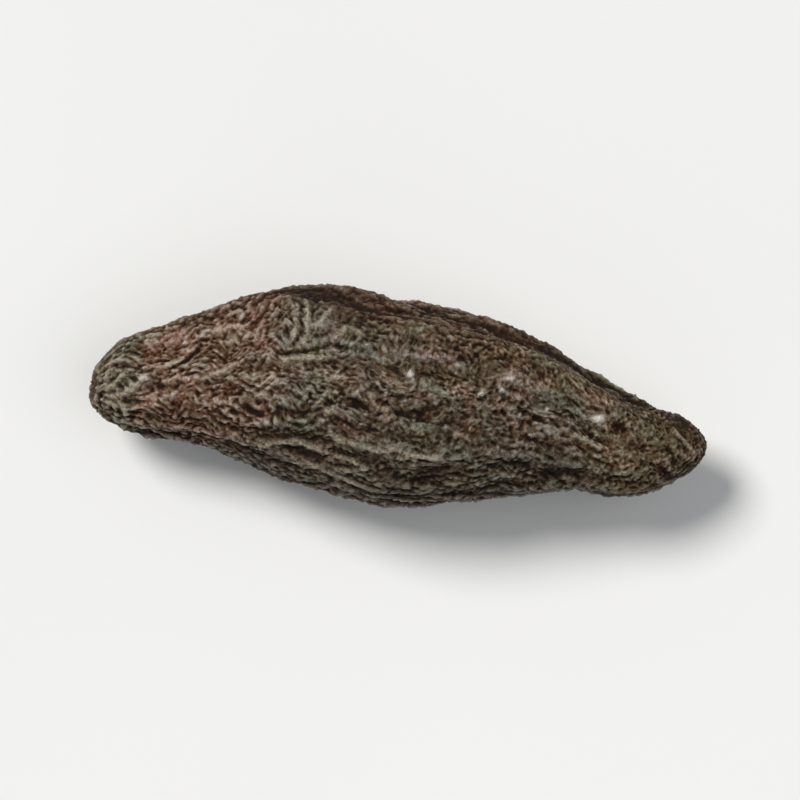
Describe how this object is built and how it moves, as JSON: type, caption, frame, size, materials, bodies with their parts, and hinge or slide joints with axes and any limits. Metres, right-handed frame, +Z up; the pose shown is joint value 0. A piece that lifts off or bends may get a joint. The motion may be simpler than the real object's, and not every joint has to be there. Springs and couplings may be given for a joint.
{
  "type": "dried chebulic myrobalan",
  "caption": "Whole dried chebulic myrobalan: a long, spindle-shaped, deeply wrinkled dark fruit with a blunt stalk end and a small flat spot to rest on.",
  "frame": {"origin": "under the middle of the fruit's box, on the surface it rests on", "axes": "+X along the fruit from the stalk scar to the tip, +Z up, the fruit lying on its flattened side"},
  "size_m": [0.028, 0.0096, 0.0079],
  "materials": {
    "dried_skin": "dried, wrinkled fruit skin, satin, near black in the furrows and olive to red brown on the ridges"
  },
  "bodies": {
    "root": {"myrobalan_fruit": "dried_skin"}
  },
  "joints": []
}
